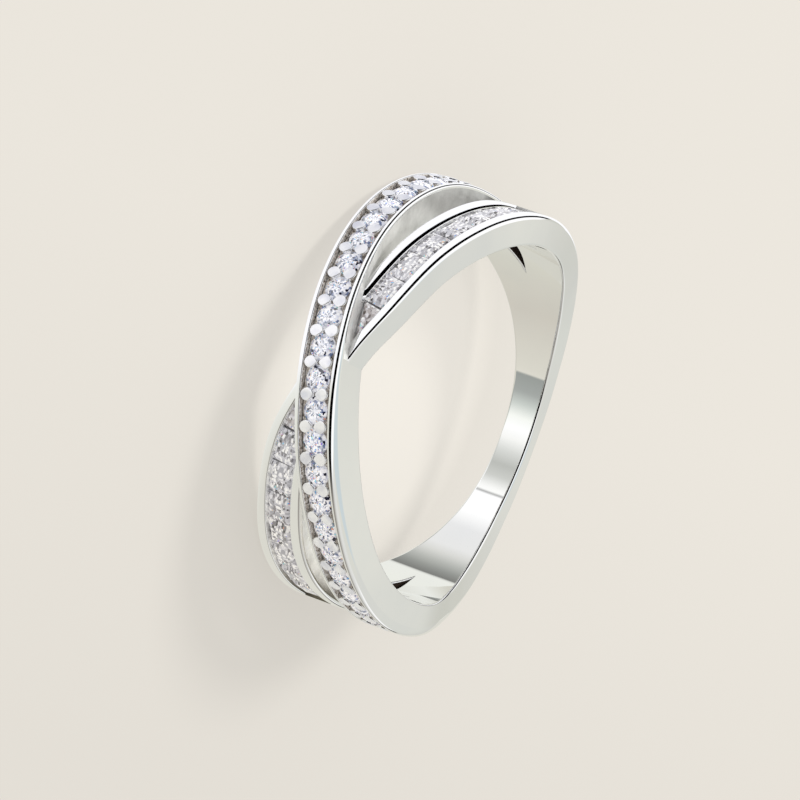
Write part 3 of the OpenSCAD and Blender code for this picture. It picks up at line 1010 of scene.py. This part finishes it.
def square_pattern(nodes):
    """Shards of painted reflection along a square stone's sides, which meet on its diagonals."""
    x, y, seed = read_cut(nodes)
    ax, ay = nodes.math("ABSOLUTE", x), nodes.math("ABSOLUTE", y)
    far, near = nodes.math("MAXIMUM", ax, ay), nodes.math("MINIMUM", ax, ay)
    end = nodes.math("MULTIPLY", nodes.math("GREATER_THAN", ax, ay), 9.0)
    half = nodes.math("MULTIPLY", nodes.math("GREATER_THAN", nodes.math("ADD", x, y), 0.0), 4.0)
    sector = nodes.math("ADD", seed, nodes.math("ADD", end, half))
    return mosaic(nodes, far, near, sector, 5.0, 6.5), mosaic(nodes, x, y, seed, 6.5, 6.5)


def loose_pattern(nodes):
    """Shards of painted reflection of about a tenth of a millimetre, for the stones whose cut follows the
    crossing.
    """
    node = nodes.new("ShaderNodeMapping", {"Scale": (6.5 / MM, 9 / MM, 8 / MM), "Rotation": (0.4, 0.6, 0.3)})
    nodes.link(nodes.place(), node.inputs["Vector"])
    return node.outputs["Vector"], node.outputs["Vector"]


def set_materials(band, gems):
    for material in (polished_silver(), gap_silver(), trough_silver(), bead_silver()):
        band.data.materials.append(material)
    by_kind = {
        "round": gem("round_gem", round_pattern, ROUND_PAINTED_REFLECTIONS, 0.07, 0.22),
        "square": gem("square_gem", square_pattern, SQUARE_PAINTED_REFLECTIONS, 0.02, 0.1),
        "trimmed": gem("trimmed_gem", loose_pattern, TRIMMED_PAINTED_REFLECTIONS, 0.03, 0.1),
    }
    for piece in gems:
        piece.data.materials.append(by_kind[piece.name.split("_")[0]])


def make_camera():
    """The photograph's view: a long lens, 30 degrees above the ring's plane, rolled to its side."""
    data = bpy.data.cameras.new("camera")
    data.sensor_width = 36
    data.lens = 360
    data.clip_start, data.clip_end = 0.01, 10
    camera = add_object("camera", data)
    right = Vector((-0.3436, 0.4611, 0.8181)).normalized()
    forward = Vector((-0.0213, 0.8671, -0.4976)).normalized()
    up = right.cross(forward).normalized()
    right = forward.cross(up).normalized()
    matrix = Matrix((right, up, -forward)).transposed().to_4x4()
    matrix.translation = Vector((7.87, -315.36, 179.43)) * MM
    camera.matrix_world = matrix
    bpy.context.scene.camera = camera


FLOOR_HALF = 600        # half the floor's side
FLOOR_GLOW = 0.48       # the pale floor glows as if lit from below, like a glass table; its stronger glow inside the ring is painted light over the ring's shadow
FLOOR_TONE = (1.0, 0.955, 0.875)
FLOOR_SHADE = 0.26      # share of its tone in the floor's colour under the light
# The white sheet's tones over X, in front of the ring's middle and behind it
SHEET_FRONT = [(-10, (1.05, 1.05, 1.08)), (0, (1.03, 1.03, 1.07)), (2.4, (0.84, 0.85, 0.8)),
               (8, (0.72, 0.71, 0.64))]
SHEET_BEHIND = [(-12.56, (1.05, 1.05, 1.08)), (-10.64, (0.68, 0.68, 0.61)), (-0.08, (0.66, 0.65, 0.58)),
                (2.32, (0.84, 0.85, 0.8)), (8.08, (0.72, 0.71, 0.64))]


def sheet_shader(nodes, x, y, reach):
    """The white sheet with a hole under the ring."""
    sheet = nodes.new("ShaderNodeEmission")
    front, behind = nodes.ramp(x, SHEET_FRONT, (-10, 10)), nodes.ramp(x, SHEET_BEHIND, (-14, 10))
    nodes.link(nodes.mix(nodes.step(y, 2.0, 4.0), front, behind), sheet.inputs["Color"])
    hole = nodes.new("ShaderNodeBsdfTransparent")
    return mixed_shader(nodes, nodes.math("LESS_THAN", reach, HOLE_R), sheet, hole)


def mixed_shader(nodes, share, one, other):
    node = nodes.new("ShaderNodeMixShader")
    nodes.link(share, node.inputs["Fac"])
    nodes.link(one.outputs[0], node.inputs[1])
    nodes.link(other.outputs[0], node.inputs[2])
    return node


def pale_floor():
    """A pale floor with painted light inside the ring and painted shade towards +X, which is a white sheet in
    the metal's reflections.
    """
    material, nodes, shader = new_material("pale_floor", {
        "Base Color": (*(FLOOR_SHADE * c for c in FLOOR_TONE), 1), "Roughness": 0.9, "Specular IOR Level": 0,
        "Emission Strength": FLOOR_GLOW})
    x, y = (nodes.math("DIVIDE", value, MM) for value in nodes.split(nodes.place())[:2])
    reach = nodes.reach(x, y)
    # painted shade: the floor's glow dims towards +X
    tone = nodes.ramp(x, [(-4, FLOOR_TONE), (20, tuple(0.9 * c for c in FLOOR_TONE))], (-20, 20))
    # painted light: the glow grows inside the ring, over the ring's shadow
    inside = nodes.ramp(reach, [(7.2, 1.25), (10, 1.0)], (0, 20))
    nodes.link(nodes.times(tone, inside), shader.inputs["Emission Color"])
    path = nodes.new("ShaderNodeLightPath")
    seen = mixed_shader(nodes, path.outputs["Is Glossy Ray"], shader, sheet_shader(nodes, x, y, reach))
    nodes.link(seen.outputs[0], material.node_tree.nodes["Material Output"].inputs["Surface"])
    return material


def make_floor():
    half, z = FLOOR_HALF * MM, cad_box[0].z
    data = bpy.data.meshes.new("floor")
    corners = [(-half, -half, z), (half, -half, z), (half, half, z), (-half, half, z)]
    data.from_pydata(corners, [], [(0, 1, 2, 3)])
    floor = add_object("floor", data)
    data.materials.append(pale_floor())


DIFFUSE_LIGHT = (1.0, 1.0, 1.0)
# The studio at the height of the ring's finger hole, by the turn from -180 to 180 degrees: from one side's
# beige wall over a grey panel, a white one, a darker gap and a wide white one to a dark end
TURN_STOPS = [(-180, (0.98, 0.98, 0.95)), (-172, (0.72, 0.73, 0.7)), (-163, (0.52, 0.53, 0.5)),
              (-155, (0.63, 0.64, 0.61)), (-147, (1.0, 1.0, 0.98)), (-144, (1.05, 1.05, 1.03)),
              (-143.4, 0.4), (-142.6, 0.4), (-142, 1.1),
              (-130, 1.1), (-115, 0.85), (-98, (0.84, 0.84, 0.83)),
              (-91, (0.72, 0.72, 0.69)), (-83, (0.5, 0.51, 0.48)), (-75, (0.32, 0.33, 0.31)),
              (-66.5, (0.2, 0.2, 0.19)), (-66, (0.86, 0.87, 0.82)), (-40, (0.85, 0.86, 0.8)),
              (50, (0.66, 0.65, 0.57)), (95, (0.62, 0.59, 0.52)), (136, (0.72, 0.7, 0.62)),
              (138.5, (0.76, 0.74, 0.66)), (139.2, (0.33, 0.35, 0.33)), (150, (0.39, 0.41, 0.39)),
              (158, (0.62, 0.66, 0.62)), (166, (0.97, 0.99, 0.94)), (173, 1.06),
              (180, (0.98, 0.98, 0.95))]
# Heights over a plane that leans from the camera's side up over the ring: the dome and the warm side wall
TALL_SPAN = (-2.25, 2.25)
DOME_STOPS = [(1.2, 0.0), (1.25, 1.1), (1.95, 1.05)]
SIDE_STOPS = [(0.45, (0.3, 0.28, 0.25)), (1.125, (0.5, 0.49, 0.46)), (1.8, (0.75, 0.75, 0.72))]
ABOVE_LEFT, ABOVE_RIGHT = (0.6, 0.67, 0.69), (0.71, 0.71, 0.65)     # tones above the dome
# The wall in front of the camera by height, which the ring's flat sides reflect
LEFT_WALL = [(0.0, (0.6, 0.6, 0.54)), (0.2, (0.64, 0.64, 0.59)), (0.38, (0.7, 0.7, 0.65)),
             (0.6, (0.75, 0.75, 0.69))]
RIGHT_WALL = [(0.0, (0.62, 0.62, 0.58)), (0.3, (0.68, 0.69, 0.64)), (0.65, (0.685, 0.69, 0.65))]


def make_world():
    """The studio, seen only by reflections: a dark dome behind the camera between white panels.

    Matt surfaces get an even soft light instead.
    """
    world = bpy.data.worlds.new("studio")
    bpy.context.scene.world = world
    world.use_nodes = True
    nodes = Nodes(world.node_tree)
    x, y, z = nodes.split(nodes.place("Generated"))
    turn = nodes.math("DIVIDE", nodes.math("ARCTAN2", x, y), math.radians(1))
    tall = nodes.math("ADD", y, nodes.math("MULTIPLY", z, 2.0))
    above = nodes.mix(nodes.step(turn, 1, 5), ABOVE_LEFT, ABOVE_RIGHT)
    dome = nodes.mix(nodes.step(tall, 1.95, 2.1), nodes.ramp(tall, DOME_STOPS, TALL_SPAN), above)
    is_side = nodes.math("MULTIPLY", nodes.step(turn, 26, 50), nodes.step_down(turn, 118, 148))
    dome = nodes.mix(is_side, dome, nodes.ramp(tall, SIDE_STOPS, TALL_SPAN))
    wall_tone = nodes.mix(nodes.step(turn, -3, 3), nodes.ramp(z, LEFT_WALL), nodes.ramp(z, RIGHT_WALL))
    is_wall = nodes.math("MULTIPLY", nodes.step_down(nodes.math("ABSOLUTE", turn), 27, 31),
                         nodes.math("SUBTRACT", nodes.step(tall, 0.6, 0.75), nodes.step(tall, 2.06, 2.14)))
    dome = nodes.mix(is_wall, dome, wall_tone)
    low = nodes.ramp(turn, TURN_STOPS, (-180, 180))
    studio = nodes.mix(nodes.step_down(z, -0.46, -0.44), dome, low)
    path = nodes.new("ShaderNodeLightPath")
    background = world.node_tree.nodes["Background"]
    nodes.link(nodes.mix(path.outputs["Is Glossy Ray"], DIFFUSE_LIGHT, studio), background.inputs["Color"])
    background.inputs["Strength"].default_value = 1


KEY_PLACE = (-372.8, 182.6, 415)
KEY_SIZE = 200
KEY_POWER = 1.75


def make_light():
    """The key light, a round soft box behind the ring's upper side. Reflections don't show it."""
    data = bpy.data.lights.new("key", "AREA")
    data.shape = "DISK"
    data.size = KEY_SIZE * MM
    data.energy = KEY_POWER
    data.color = (1, 0.98, 0.95)
    light = add_object("key", data)
    light.location = Vector(KEY_PLACE) * MM
    light.rotation_mode = "QUATERNION"
    light.rotation_quaternion = (-Vector(KEY_PLACE)).to_track_quat("-Z", "Y")
    light.visible_glossy = False


set_materials(make_band(), make_gems())
make_camera()
make_floor()
make_world()
make_light()
view = bpy.context.scene.view_settings
view.view_transform = "Standard"
view.look = "None"
view.exposure = 0
view.gamma = 1
